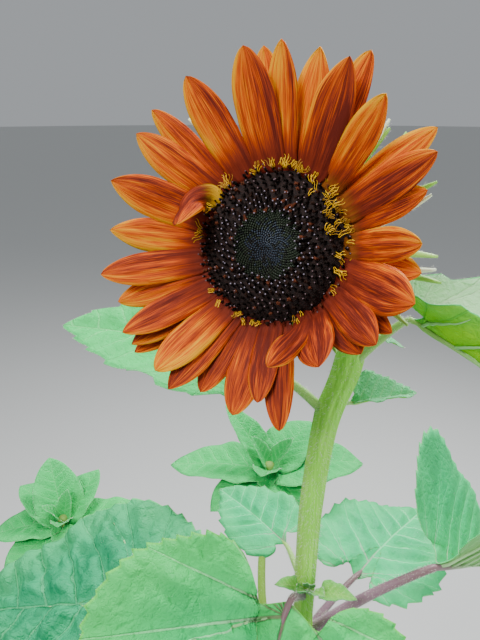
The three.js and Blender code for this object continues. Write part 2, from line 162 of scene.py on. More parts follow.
LEAVES = {name: dict(zip(LEAF_TERMS, values)) for name, values in LEAVES.items()}


class Route:
    """A smooth curve through points, read by the share of its length, with a frame that never spins."""

    STEPS = 30

    def __init__(self, points, side):
        ends = [2 * points[0] - points[1], *points, 2 * points[-1] - points[-2]]
        self.places = [points[0]]
        for before, start, end, after in zip(ends, ends[1:], ends[2:], ends[3:]):
            arriving = math.sqrt((start - before).length)
            span = math.sqrt((end - start).length)
            leaving = math.sqrt((after - end).length)
            out = (start - before) / arriving - (end - before) / (arriving + span) + (end - start) / span
            into = (end - start) / span - (after - start) / (span + leaving) + (after - end) / leaving
            out *= span
            into *= span
            for step in range(1, self.STEPS + 1):
                t = step / self.STEPS
                place = start + out * t + (3 * (end - start) - 2 * out - into) * t**2
                place += (2 * (start - end) + out + into) * t**3
                self.places.append(place)
        self.marks = [0.0]
        for here, there in zip(self.places, self.places[1:]):
            self.marks.append(self.marks[-1] + (there - here).length)
        self.length = self.marks[-1]
        self.frames = []
        for index in range(len(self.places)):
            ahead = self.places[min(index + 1, len(self.places) - 1)]
            behind = self.places[max(index - 1, 0)]
            forward = (ahead - behind).normalized()
            side = (side - forward * side.dot(forward)).normalized()
            self.frames.append((forward, side))

    def at(self, share):
        """The place, the direction onward and the frame's side direction at a share of the length."""
        target = min(max(share, 0), 1) * self.length
        index = min(int(np.searchsorted(self.marks, target, side="right")) - 1, len(self.places) - 2)
        part = (target - self.marks[index]) / (self.marks[index + 1] - self.marks[index])
        place = self.places[index].lerp(self.places[index + 1], part)
        forward = self.frames[index][0].lerp(self.frames[index + 1][0], part).normalized()
        side = self.frames[index][1].lerp(self.frames[index + 1][1], part)
        return place, forward, (side - forward * side.dot(forward)).normalized()


stem_route = Route(
    [
        Vector(point)
        for point in [
            (0, 0, 0), (0, 0, 60), (2, 1, 180), (7, 5, 420), (5, 4, 700), (-3, 1, 960), (-3.5, 0, 1160),
            (-2, 0, 1245), (4.8, 0, 1312), (14.5, 1, 1348), (19.5, 4.5, 1376), (12, 9, 1405),
            head_back - NECK_STRAIGHT * head_axis, head_back,
        ]
    ],
    Vector((1, 0, 0)),
)


def stem_radius(share):
    """The stem's radius before its ridges: foot flare, taper and thick neck."""
    from_ground = share * stem_route.length
    from_head = stem_route.length - from_ground
    taper = FOOT_RADIUS + (TOP_RADIUS - FOOT_RADIUS) * min(1, share / TAPER_END)
    flare = (FLARE_RADIUS - FOOT_RADIUS) * max(0, 1 - from_ground / FLARE_HEIGHT) ** 2
    neck = (NECK_RADIUS - TOP_RADIUS) * max(0, 1 - from_head / NECK_LENGTH)
    return taper + flare + neck


def turn_between(first, second):
    """The smallest angle between two directions, in radians."""
    return abs((first - second + math.pi) % (2 * math.pi) - math.pi)


def stem_relief(height, angle):
    """Ridges down the stem, and a swelling under each leaf stalk that runs on down as a rib."""
    relief = 0.28 * math.cos(9 * angle + 0.004 * height) + 0.16 * math.cos(17 * angle - 0.01 * height)
    relief += 0.35 * noise.noise(Vector((math.cos(angle), math.sin(angle), height / 60)))
    for leaf in LEAVES.values():
        below = leaf["height"] - height
        if RIB_START < below < RIB_LENGTH:
            near = math.exp(-((turn_between(angle, math.radians(leaf["around"])) / RIB_WIDTH) ** 2))
            rib = math.exp(-((below / 12) ** 2)) if below < 0 else 0.45 + 0.55 * math.exp(-below / 22)
            relief += leaf["thick"] * 0.5 * near * rib * min(1, (RIB_LENGTH - below) / 60)
    return relief


def surface(across, along, place, closed=False, paint=None):
    """A grid of quads moved onto a shape: place(u, v) gives each point, u across and v along it.

    The pattern's UV map holds u and v, or what paint(u, v) makes of them, and each point keeps its
    v as the reach. Closed joins the sides and fills the ends.
    """
    shape = bmesh.new()
    pattern = shape.loops.layers.uv.new("pattern")
    reach = shape.verts.layers.float.new("reach")
    bmesh.ops.create_grid(shape, x_segments=across, y_segments=along, size=0.5)
    for face in shape.faces:
        for loop in face.loops:
            u, v = loop.vert.co.x + 0.5, loop.vert.co.y + 0.5
            loop[pattern].uv = paint(u, v) if paint else (u, v)
    for vertex in shape.verts:
        vertex[reach] = vertex.co.y + 0.5
        vertex.co = place(vertex.co.x + 0.5, vertex.co.y + 0.5)
    if closed:
        bmesh.ops.remove_doubles(shape, verts=shape.verts, dist=MERGE_WITHIN)
        bmesh.ops.holes_fill(shape, edges=shape.edges)
    return shape


def tube(route, sides, rings, radius_at, relief=None, paint=None):
    """A closed round limb along a route. Relief adds to the radius at a share and an angle."""
    stations = [route.at(ring / rings) for ring in range(rings + 1)]

    def place(u, v):
        centre, forward, side = stations[round(v * rings)]
        angle = 2 * math.pi * u
        radius = radius_at(v) + (relief(v, angle) if relief else 0)
        return centre + radius * (math.cos(angle) * side + math.sin(angle) * forward.cross(side))

    return surface(sides, rings, place, closed=True, paint=paint)


def together(shapes):
    """Joins several shapes into one, with their UV maps."""
    whole = bmesh.new()
    for shape in shapes:
        loose = bpy.data.meshes.new("loose")
        shape.to_mesh(loose)
        shape.free()
        whole.from_mesh(loose)
        bpy.data.meshes.remove(loose)
    return whole


def copies(template, places):
    """One mesh of many copies of a small one, each under its own matrix."""
    corners = np.array([(*vertex.co, 1.0) for vertex in template.verts])
    template.verts.index_update()
    faces = [[vertex.index for vertex in face.verts] for face in template.faces]
    moved = np.concatenate([(corners @ np.array(place).T)[:, :3] for place in places])
    joined = bpy.data.meshes.new("copies")
    joined.from_pydata(
        moved.tolist(),
        [],
        [[index + copy * len(corners) for index in face] for copy in range(len(places)) for face in faces],
    )
    return joined


def piece(name, form, finishes, nodes=(), thickness=0):
    """Brings a finished shape to metres and adds it to the plant, in place of its CAD nodes."""
    if isinstance(form, bpy.types.Mesh):
        mesh = form
    else:
        mesh = bpy.data.meshes.new(name)
        form.to_mesh(mesh)
        form.free()
    mesh.transform(Matrix.Diagonal((MM, MM, MM, 1)))
    mesh.shade_smooth()
    for finish in finishes:
        mesh.materials.append(finish)
    made = bpy.data.objects.new(name, mesh)
    scene.collection.objects.link(made)
    if thickness:
        blade = made.modifiers.new("thickness", "SOLIDIFY")
        blade.thickness = thickness * MM
        blade.offset = -1
        blade.material_offset = len(finishes) - 1
    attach(made, "root")
    if nodes:
        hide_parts(*nodes)
    return made


class Shade:
    """A socket in a material, so that its patterns are written as sums and products."""

    def __init__(self, tree, socket=None):
        self.tree = tree
        self.socket = socket

    def node(self, kind, settings, inputs, output=0):
        """Adds any node: its settings are set first, then the values or links of its sockets."""
        made = self.tree.nodes.new(kind)
        for name, value in settings.items():
            if name != "stops":
                setattr(made, name, value)
        for index, (where, colour) in enumerate(settings.get("stops", [])):
            stops = made.color_ramp.elements
            stop = stops[index] if index < len(stops) else stops.new(where)
            stop.position = where
            stop.color = (*colour, 1)
        for name, value in inputs.items():
            if isinstance(value, Shade):
                self.tree.links.new(value.socket, made.inputs[name])
            else:
                made.inputs[name].default_value = value
        return Shade(self.tree, made.outputs[output])

    def math(self, operation, *values):
        return self.node("ShaderNodeMath", {"operation": operation}, dict(enumerate(values)))

    def __add__(self, other):
        return self.math("ADD", self, other)

    def __sub__(self, other):
        return self.math("SUBTRACT", self, other)

    def __rsub__(self, other):
        return self.math("SUBTRACT", other, self)

    def __mul__(self, other):
        return self.math("MULTIPLY", self, other)

    def __truediv__(self, other):
        return self.math("DIVIDE", self, other)

    __radd__ = __add__
    __rmul__ = __mul__

    def size(self):
        return self.math("ABSOLUTE", self)

    def repeat(self):
        """How far a value lies from its nearest whole number."""
        return (self.math("FRACT", self + 0.5) - 0.5).size()

    def ease(self, low, high):
        """Goes smoothly from 0 at low to 1 at high."""
        settings = {"interpolation_type": "SMOOTHSTEP"}
        return self.node("ShaderNodeMapRange", settings, {"Value": self, "From Min": low, "From Max": high})

    def blend(self, first, second):
        """A colour that goes from the first to the second as this value goes from 0 to 1."""
        settings = {"data_type": "RGBA", "clamp_factor": True}
        return self.node("ShaderNodeMix", settings, {0: self, 6: first, 7: second}, output=2)

    def ramp(self, *stops):
        return self.node("ShaderNodeValToRGB", {"stops": stops}, {"Fac": self})

    def parts(self):
        """The two numbers of a UV map, or the three of a place."""
        return [self.node("ShaderNodeSeparateXYZ", {}, {"Vector": self}, output=axis) for axis in range(3)]

    def pattern_map(self):
        """The two numbers of the piece's own UV map."""
        return self.node("ShaderNodeUVMap", {"uv_map": "pattern"}, {}).parts()[:2]

    def place(self):
        """The three numbers of a place on the object, in metres."""
        return self.node("ShaderNodeTexCoord", {}, {}, output=3).parts()

    def trait(self, name):
        """A number that the mesh carries as an attribute."""
        return self.node("ShaderNodeAttribute", {"attribute_name": name}, {}, output=2)

    def grain(self, x, y, z=0.0, detail=3.0):
        """Noise at a place given by its three numbers, about 0.5 on average."""
        place = self.node("ShaderNodeCombineXYZ", {}, {"X": x, "Y": y, "Z": z})
        return self.node("ShaderNodeTexNoise", {}, {"Vector": place, "Scale": 1.0, "Detail": detail})

    def bump(self, distance, strength=1.0):
        inputs = {"Height": self, "Distance": distance * MM, "Strength": strength}
        return self.node("ShaderNodeBump", {}, inputs)

    def drives(self, finish, socket):
        self.tree.links.new(self.socket, finish.node_tree.nodes["Principled BSDF"].inputs[socket])


def new_finish(name, colour, roughness, sheen=0.0, specular=0.35):
    """A material with its constant values set, and the start of its patterns."""
    finish = bpy.data.materials.new(name)
    finish.use_nodes = True
    shader = finish.node_tree.nodes["Principled BSDF"]
    shader.inputs["Base Color"].default_value = (*colour, 1)
    shader.inputs["Roughness"].default_value = roughness
    shader.inputs["Specular IOR Level"].default_value = specular
    shader.inputs["Sheen Weight"].default_value = sheen
    return finish, Shade(finish.node_tree)


def stem_finish(name, light, dark, side_tint):
    """Green skin with fine lengthwise streaks, a darker olive side towards the left and small raised pores.
    """
    finish, start = new_finish(name, light, 0.5, specular=0.25)
    x, y, z = start.place()
    streaks = start.grain(x * 900, y * 900, z * 28, detail=4.0)
    patches = start.grain(x * 60, y * 60, z * 9)
    pores = start.grain(x * 1500, y * 1500, z * 700, detail=2.0)
    base = (streaks.ease(0.35, 0.7) * 0.7 + patches * 0.35).blend((*dark, 1), (*light, 1))
    # The left side, towards negative x, turns to the side tint in uneven patches.
    side = (patches - x * 26 - 0.22).ease(0.25, 0.75) * 0.6
    side.blend(base, (*side_tint, 1)).drives(finish, "Base Color")
    (streaks * 0.6 + pores.ease(0.55, 0.75)).bump(0.35, 0.7).drives(finish, "Normal")
    (0.42 + patches * 0.25).drives(finish, "Roughness")
    return finish


def stem_surface_relief(share, angle):
    return stem_relief(stem_route.at(share)[0].z, angle) * min(1, share * 30)


stem_skin = stem_finish("stem_skin", (0.37, 0.84, 0.1), (0.2, 0.6, 0.035), (0.28, 0.36, 0.07))
stem_shape = tube(stem_route, STEM_SIDES, STEM_RINGS, stem_radius, stem_surface_relief)
for vertex in stem_shape.verts:
    # The lowest ring lies flat on the ground.
    if vertex.co.z < 1.5:
        vertex.co.z = 0
piece("stem_body", stem_shape, [stem_skin], ["stem"])

# Bristles: stiff white hairs all over the stem, thickest near the head. They catch the light as a
# pale fringe on both edges.
BRISTLE_ZONES = [
    # How many, from and to which share of the stem's length, and how long.
    (5200, 0.66, 0.985, 2.9), (4200, 0.02, 0.7, 2.3),
]
chance = random.Random(7)
bristle = bmesh.new()
bmesh.ops.create_cone(bristle, cap_ends=False, segments=3, radius1=1, radius2=0, depth=1)
bmesh.ops.translate(bristle, verts=bristle.verts, vec=(0, 0, 0.5))
bristle_white, _ = new_finish("bristle_white", (0.78, 0.8, 0.68), 0.4)


def any_way(spread):
    """A vector that points anywhere at random, about as long as the spread."""
    return Vector([chance.gauss(0, spread) for _ in range(3)])


def bristle_at(place, direction, length, radius=0.1):
    """The matrix of one bristle that grows from a place in a direction."""
    turn = direction.to_track_quat("Z", "Y").to_matrix().to_4x4()
    return Matrix.Translation(place) @ turn @ Matrix.Diagonal((radius, radius, length, 1))


def bristles_on(route, radius_at, count, start, end, length, lean=0.25):
    """Bristles spread at random over a stretch of a limb."""
    places = []
    for _ in range(count):
        share = chance.uniform(start, end)
        centre, forward, side = route.at(share)
        angle = chance.uniform(0, 2 * math.pi)
        out = math.cos(angle) * side + math.sin(angle) * forward.cross(side)
        wild = any_way(0.22)
        direction = out + forward * chance.gauss(-lean, 0.3) + wild
        grown = length * chance.uniform(0.5, 1.25)
        places.append(bristle_at(centre + out * (radius_at(share) - 0.1), direction, grown))
    return places


stem_bristles = []
for count, low, high, length in BRISTLE_ZONES:
    stem_bristles += bristles_on(stem_route, stem_radius, count, low, high, length)
piece("stem_bristles", copies(bristle, stem_bristles), [bristle_white])

# Seed disc: a dark low dome packed with tubular florets that follow the golden angle. The middle is
# still in bud and the ring round it is open. They lean in towards the middle, the outermost outwards.
DISC_RADIUS = 36
BUD_ZONE = 16.5
BUDS = 680
OPEN_FLORETS = 430
OPEN_RADIUS = 36.4
GOLDEN_ANGLE = math.radians(137.508)
DOME = [(0, 6.2), (9, 6.6), (16, 7.2), (21, 6.6), (27, 5.4), (32, 2.6), (35, -1.0), (36, -4)]


def dome_height(radius):
    """The height of the dome that carries the florets, at a distance from its middle."""
    for (inner, low), (outer, high) in zip(DOME, DOME[1:]):
        if radius <= outer:
            return low + (high - low) * (radius - inner) / (outer - inner)
    return DOME[-1][1]


def turned(profile, steps):
    """A closed shape turned round the Z axis from a profile of radius and height, bottom first."""
    shape = bmesh.new()
    points = [shape.verts.new((radius, 0, height)) for radius, height in profile]
    edges = [shape.edges.new(pair) for pair in zip(points, points[1:])]
    bmesh.ops.spin(
        shape, geom=points + edges, axis=UP, cent=(0, 0, 0), angle=2 * math.pi, steps=steps, use_merge=True
    )
    bmesh.ops.remove_doubles(shape, verts=shape.verts, dist=MERGE_WITHIN)
    bmesh.ops.recalc_face_normals(shape, faces=shape.faces)
    return shape


disc_dark, start = new_finish("disc_dark", (0.02, 0.009, 0.006), 0.8)
x, y, z = start.place()
scales = start.grain(x * 1400, y * 1400, z * 1400)
scales.ramp((0.35, (0.004, 0.002, 0.002)), (0.65, (0.024, 0.008, 0.005))).drives(disc_dark, "Base Color")
scales.bump(0.8).drives(disc_dark, "Normal")
dome = turned([(0, DOME[-1][1]), *reversed(DOME)], 72)
dome.transform(head_frame)
piece("disc_dome", dome, [disc_dark], ["seed_disc"])

# An open floret is a tube that widens to a five-pointed mouth, with the dark anthers standing in it.
FLORET_HEIGHT = 5.15
FLORET_SIDES = 10
POINT_PULL = 0.62
bud = turned([(0, 0), (0.55, 0.1), (0.68, 0.9), (0.5, 1.6), (0.16, 2.2), (0, 2.4)], 6)
floret = turned(
    [
        (0, 0), (0.5, 0), (0.55, 2.0), (0.72, 3.2), (1.12, 4.2),
        (0.48, 3.3), (0.44, 4.7), (0.3, 5.1), (0, FLORET_HEIGHT),
    ],
    FLORET_SIDES,
)
for vertex in floret.verts:
    corner = round(math.atan2(vertex.co.y, vertex.co.x) / (2 * math.pi) * FLORET_SIDES)
    if math.hypot(vertex.co.x, vertex.co.y) > 1 and corner % 2:
        vertex.co = (vertex.co.x * POINT_PULL, vertex.co.y * POINT_PULL, 3.3)
anther_tip = bmesh.new()
bmesh.ops.create_icosphere(anther_tip, subdivisions=1, radius=0.4)
bmesh.ops.translate(anther_tip, verts=anther_tip.verts, vec=(0, 0, FLORET_HEIGHT))


def on_disc(radius, angle, lean, size, spin=0.0):
    """The matrix of a floret on the dome, leaning towards the middle by an angle in radians."""
    return (
        head_frame
        @ Matrix.Rotation(angle, 4, "Z")
        @ Matrix.Translation((radius, 0, dome_height(radius) - 0.3))
        @ Matrix.Rotation(-lean, 4, "Y")
        @ Matrix.Rotation(spin, 4, "Z")
        @ Matrix.Scale(size, 4)
    )


def dealt_out(kind, template, dealt, colours, roughness, specular):
    """One piece for each colour: copies of a small part at the places dealt to that colour."""
    for name, colour in colours.items():
        finish, _ = new_finish(f"{kind}_{name}", colour, roughness, specular=specular)
        piece(f"disc_{kind}s_{name}", copies(template, dealt[name]), [finish])


chance = random.Random(11)
# The buds in the middle take a blue-grey painted sheen. The rest are green, and some at random are black.
bud_colours = {"painted_sheen": (0.03, 0.042, 0.06), "green": (0.026, 0.036, 0.021), "black": (0.01, 0.012, 0.01)}
dealt = {name: [] for name in bud_colours}
for index in range(BUDS):
    share = (index + 0.5) / BUDS
    radius = BUD_ZONE * math.sqrt(share)
    place = on_disc(radius, index * GOLDEN_ANGLE, 0.55 - 0.2 * share, 0.72 + 0.24 * share)
    wanted = "painted_sheen" if index / BUDS < chance.uniform(0.1, 0.55) else "green"
    dealt["black" if chance.random() < 0.2 else wanted].append(place)
dealt_out("bud", bud, dealt, bud_colours, 0.38, 0.6)

floret_places = []
for index in range(OPEN_FLORETS):
    share = (index + 0.5) / OPEN_FLORETS
    radius = math.sqrt(BUD_ZONE**2 + share * (OPEN_RADIUS**2 - BUD_ZONE**2))
    angle = (BUDS + index) * GOLDEN_ANGLE + chance.gauss(0, 0.016)
    lean = 0.6 - 0.95 * share + chance.gauss(0, 0.13)
    floret_places.append(on_disc(radius, angle, lean, chance.uniform(0.86, 1.08), chance.uniform(0, 6)))
floret_colours = {
    "black": (0.005, 0.002, 0.001), "brown": (0.017, 0.006, 0.003), "russet": (0.1, 0.026, 0.01),
}
dealt = {name: [] for name in floret_colours}
for place in floret_places:
    dealt[chance.choices(list(floret_colours), [7, 3, 2])[0]].append(place)
dealt_out("floret", floret, dealt, floret_colours, 0.7, 0.12)
NEW_FLORETS = 150
dealt = {
    "grey": floret_places[:NEW_FLORETS],
    "rose": [place for place in floret_places[NEW_FLORETS:] if chance.random() < 0.55],
}
tip_colours = {"grey": (0.22, 0.19, 0.24), "rose": (0.15, 0.1, 0.11)}
dealt_out("anther", anther_tip, dealt, tip_colours, 0.75, 0.2)

# Stigmas: the yellow pistil arms of the outermost florets, each a pair that runs side by side and
# curls back at its ends. They stand thickest along the top and the right of the rim.
STIGMA_REACH = 6.8
STIGMA_THICK = 0.17


def stigma_arm(side, curl):
    """One arm, which rises from its floret and bends over outwards (along x) to a curled end."""
    points = [Vector((0, 0, 0)), Vector((0.3, side * 0.35, 1.4))]
    for step in range(1, 7):
        turn = step / 6 * curl
        reach = STIGMA_REACH / 6 * step
        sideways = side * (0.5 + 0.07 * step) + 0.3 * math.sin(1.2 * step)
        points.append(Vector((0.4 + reach * math.cos(turn * 0.5), sideways, 1.6 + 0.9 * math.sin(turn))))
    return tube(Route(points, Vector((0, 1, 0))), 5, 16, lambda share: STIGMA_THICK * (1 - 0.35 * share))


stigma_forms = [together([stigma_arm(side, curl) for side in (-1, 1)]) for curl in (1.4, 2.6, 3.4)]
STIGMA_RADIUS = 36.2
STIGMA_ARCS = [
    # Clockwise degrees from the top of the head, the spread either side, how many and from where out.
    (2, 27, 36, 33.4), (46, 18, 20, 27.5), (68, 15, 17, 27.5), (88, 8, 5, 31), (103, 5, 4, 31),
    (117, 4, 2, 33), (149, 5, 5, 30), (183, 4, 2, 34), (195, 8, 6, 34), (212, 5, 3, 33),
    (229, 3, 2, 33), (275, 7, 4, 34), (322, 8, 7, 33), (300, 10, 3, 33),
]
dealt = {"gold": [[], [], []], "amber": [[], [], []]}
for middle, spread, count, inner in STIGMA_ARCS:
    for _ in range(count):
        angle = math.radians(90 - middle + chance.uniform(-spread, spread))
        radius = chance.uniform(inner, STIGMA_RADIUS)
        pose = (
            on_disc(radius, angle, chance.uniform(-0.5, 0.1), chance.uniform(0.75, 1.1))
            @ Matrix.Translation((0, 0, 3.6))
            @ Matrix.Rotation(chance.gauss(0, 0.55), 4, "Z")
        )
        dealt[chance.choice(["gold", "gold", "amber"])][chance.randrange(3)].append(pose)
for name, colour in {"gold": (0.8, 0.46, 0.002), "amber": (0.4, 0.2, 0.002)}.items():
    finish, _ = new_finish(f"stigma_{name}", colour, 0.5)
    joined = bmesh.new()
    for form, places in zip(stigma_forms, dealt[name]):
        joined.from_mesh(copies(form, places))
    piece(f"stigmas_{name}", joined, [finish])

# Petals: thin ray florets, each with two lengthwise folds. They are maroon at the base and along
# the middle and go through burnt orange to gold at their edges and tips.
PETAL_BASE_RADIUS = DISC_RADIUS + 0.3
# Each row's height on the head, and how steeply its petals rise in degrees.
PETAL_ROWS = {"front": (0.9, 39), "middle": (-0.9, 33), "back": (-2.6, 27)}
PETAL_BEND = 15
PETAL_ARCH = 0.16
PETAL_ROOT = 3.2
PETAL_SHOULDER = 0.55
PETAL_RIDGE = 0.6
PETAL_THICKNESS = 0.35
# Clockwise degrees from the top: where the painted light that makes one side of a petal more golden is
# strongest, and the stretch where the petals' bases are golden too.
SIDE_LIGHT_AT = 325
BASE_GOLD_FROM = 30
BASE_GOLD_TO = 100
PETALS = [
    # Clockwise degrees from the top, length, width, row, and how golden it is from 0 to 1, then any
    # extra lift and sideways sweep in degrees, and how much it rolls up.
    (350, 51.5, 20, "front", 0.55), (353, 51.5, 19, "back", 1), (0.5, 52, 15, "middle", 1),
    (10.5, 50.5, 18, "back", 1), (23, 51, 18.5, "front", 0.15), (24.5, 55, 15, "back", 0.6),
    (38, 48, 15, "middle", 0.85, 8), (52, 50, 15, "back", 0.9), (60, 49.5, 15.5, "front", 0.2),
    (68, 40, 14, "middle", 0.6, 4), (85, 39.5, 14.5, "front", 0.6, 6), (94, 36, 14.5, "back", 0.5, 8),
    (103.5, 44, 20.5, "front", 0.2, 6), (116.5, 35, 12, "back", 0, 8), (121, 39.5, 16, "front", 0, 8),
    (129, 32.5, 17, "middle", 0, 6), (143, 35, 19, "middle", 0, 25),
    (148, 38, 12, "front", 0.1, 26, 52, 0.32), (167, 50, 14, "back", 0.1),
    (174, 38, 14.5, "middle", 0.05), (183.5, 46, 18, "back", 0.4), (197.5, 42, 15, "back", 0.2),
    (206, 48.5, 16, "middle", 0.2), (213, 46, 17.5, "front", 1), (225, 50.5, 14, "back", 0.2),
    (227, 48.5, 14.5, "middle", 0.2), (231, 48, 15, "front", 0.3), (243, 46, 15, "middle", 0.75),
    (253, 49, 16, "front", 0.45), (269, 45.5, 16.5, "middle", 1), (286, 48, 19, "front", 0.62),
    (302, 37, 14, "front", 0.15, 26, -135, 0.42), (303.5, 49, 17, "middle", 0.7),
    (312, 51.5, 14, "back", 0.75), (329.5, 49.5, 17.5, "front", 0.65),
]


def petal_line(along, length, lift, sweep):
    """The middle line of a petal: it rises at its lift, bends back and may sweep sideways."""
    steps = 16
    x, y, z = 0.0, PETAL_BASE_RADIUS, 0.0
    for step in range(steps):
        here = along * (step + 0.5) / steps
        rise = math.radians(lift - PETAL_BEND * here)
        heading = math.radians(sweep * min(1, here * 2))
        stride = length * along / steps
        x += stride * math.cos(rise) * math.sin(heading)
        y += stride * math.cos(rise) * math.cos(heading)
        z += stride * math.sin(rise)
    return Vector((x, y, z)), rise, heading


def petal_shape(length, width, row, lift, sweep, roll, habit):
    """One petal on the head, pointing along y. Habit is its own source of small differences."""
    height, start_lift = PETAL_ROWS[row]
    rows = 40
    stations = [petal_line(step / rows, length, start_lift + lift, sweep) for step in range(rows + 1)]
    sharp = habit.uniform(0.62, 0.84)
    notch = habit.choice([0, 0.02, 0.05])
    twist = habit.uniform(-0.16, 0.16)
    wave = habit.uniform(0.2, 0.7)
    phase = habit.uniform(0, 6)
    lean = habit.uniform(-0.5, 0.5)

    def place(u, v):
        across = 2 * u - 1
        middle, rise, heading = stations[round(v * rows)]
        past = max(0, (v - PETAL_SHOULDER) / (1 - PETAL_SHOULDER))
        taper = max(0, 1 - past**2) ** sharp
        half = width * (0.42 + 0.08 * min(1, v / 0.4) ** 1.2) * min(1, 0.72 + 5 * v) * taper
        ridged = PETAL_RIDGE * math.cos(3 * math.pi * across) * math.sin(math.pi * min(1, v * 1.1)) ** 0.6
        offset = ridged - roll * half * across * across + half * across * twist * v
        offset += wave * math.sin(9 * v + phase) * across * across * v
        offset += 0.8 * math.sin(4 * v + phase) * v * v
        middle = middle - Vector((0, PETAL_ROOT * max(0, 1 - 12 * v), 0))
        along = -notch * length * math.exp(-((across / 0.35) ** 2)) * v**6
        drift = lean * math.sin(math.pi * v) * 0.8
        out = Vector((math.sin(heading), math.cos(heading), 0))
        side = Vector((math.cos(heading), -math.sin(heading), 0))
        normal = Vector((-math.sin(rise) * out.x, -math.sin(rise) * out.y, math.cos(rise)))
        onward = out * math.cos(rise) + Vector((0, 0, math.sin(rise)))
        raised = Vector((0, 0, height))
        return middle + (across * half + drift) * side + along * onward + offset * normal + raised

    return surface(16, rows, place)


PETAL_TRAITS = ("tone", "habit", "lit_side", "base_gold")


def petal_finish(name, underside):
    """Satin petal skin from its own UV map: panels, edges, tip and fine streaks along its length."""
    finish, start = new_finish(name, (0.5, 0.12, 0.02), 0.6, specular=0.1)
    u, v = start.pattern_map()
    tone, seed, lit_side, base_gold = [start.trait(name) for name in PETAL_TRAITS]
    off_middle = (u * 2 - 1).size()
    broad = start.grain(u * 7, v * 1.6, seed * 40)
    fine = start.grain(u * 46, v * 3.4, seed * 40 + 9, detail=5.0)
    veins = start.grain(u * 110, v * 5, seed * 40 + 17, detail=2.0)
    folds = (off_middle * 1.5).repeat().ease(0.0, 0.32)
    edge = (off_middle + (fine - 0.5) * 0.4).ease(0.62, 1.05)
    tip = (v + (fine - 0.5) * 0.25).ease(0.62, 1.02)
    base = (v + (fine - 0.5) * 0.2).ease(0.0, 0.42)
    gold = edge * 0.34 + tip * 0.2 + (broad - 0.5) * 1.1 + (fine - 0.5) * 1.5 + (veins - 0.5) * 1.0
    # Painted light: lit_side makes the side of the petal towards u = 0 more golden.
    gold = (gold + (0.5 - u) * lit_side + tone * 0.54) * base + folds * 0.08
    colour = gold.ramp(
        (0.0, (0.11, 0.013, 0.007)), (0.2, (0.24, 0.03, 0.01)), (0.4, (0.45, 0.055, 0.004)),
        (0.58, (0.62, 0.1, 0.001)), (0.78, (0.7, 0.21, 0.0005)), (1.0, (0.72, 0.33, 0.0005)),
    )
    at_base = 1 - (v + (veins - 0.5) * 0.3 + (fine - 0.5) * 0.15).ease(0.02, 0.2)
    colour = (base_gold * at_base).blend(colour, (0.62, 0.33, 0.006, 1))
    if underside:
        colour = (base_gold * 0.4 + 0.4).blend(colour, (0.78, 0.4, 0.04, 1))
    colour.drives(finish, "Base Color")
    (fine * 0.5 + veins * 0.5 + folds * 0.8).bump(0.35, 0.9).drives(finish, "Normal")
    (0.5 + fine * 0.2).drives(finish, "Roughness")
    return finish


petal_face = petal_finish("petal_face", underside=False)
petal_back = petal_finish("petal_back", underside=True)
for number, (at, length, width, row, tone, *extra) in enumerate(PETALS, start=1):
    lift, sweep, roll = extra + [0, 0, PETAL_ARCH][len(extra) :]
    name = f"petal_{number:02d}"
    shape = petal_shape(length, width, row, lift, sweep, roll, random.Random(name))
    shape.transform(head_frame @ Matrix.Rotation(math.radians(-at), 4, "Z"))
    faces = [petal_face, petal_back]
    petal = piece(f"ray_{number:02d}", shape, faces, [name], thickness=PETAL_THICKNESS)
    # How much painted light makes one side of this petal more golden, most for the petals at the upper left.
    lit_side = 0.4 + 0.35 * math.cos(math.radians(at - SIDE_LIGHT_AT))
    base_gold = 1.0 if roll > 0.4 else 0.15 if BASE_GOLD_FROM < at < BASE_GOLD_TO else 0.0
    for attribute, value in zip(PETAL_TRAITS, (tone, number / len(PETALS), lit_side, base_gold)):
        layer = petal.data.attributes.new(attribute, "FLOAT", "POINT")
        layer.data.foreach_set("value", [value] * len(petal.data.vertices))

# Bract cup: the green receptacle behind the disc, wrapped in three rows of narrow leafy bracts with
# long drawn-out tips and bristly edges, some of which show past the petals.
BRACT_ROWS = [
    # Count, length, width, where it starts (radius, height), lift and forward curl in degrees.
    (14, 46, 12.5, (24, -17), 0, 14), (14, 43, 11.5, (30, -12), 3, 10), (13, 37, 10, (34, -8), 6, 8),
]
BRACT_REGIONS = [
    # Degrees from and to, anticlockwise from the right of the head, and how much longer or shorter.
    (245, 335, 0.7), (-20, 35, 1.12),
]
# The third row's pale green is partly its white hairs and partly painted sunlight.
BRACT_GREENS = [(0.24, 0.56, 0.07), (0.32, 0.62, 0.12), (0.72, 0.86, 0.58)]
BRACT_THICKNESS = 0.5
BRACT_EDGE_STEPS = 26
cup_green = stem_finish("cup_green", (0.28, 0.5, 0.1), (0.16, 0.34, 0.06), (0.2, 0.3, 0.07))
cup = turned(
    [
        (0, -RECEPTACLE_DEPTH), (12.5, -RECEPTACLE_DEPTH), (18, -25), (26, -18),
        (33, -10.5), (35.5, -6), (35.2, -4.3), (0, -4.3),
    ],
    64,
)
cup.transform(head_frame)
piece("receptacle", cup, [cup_green], ["bract_cup"])

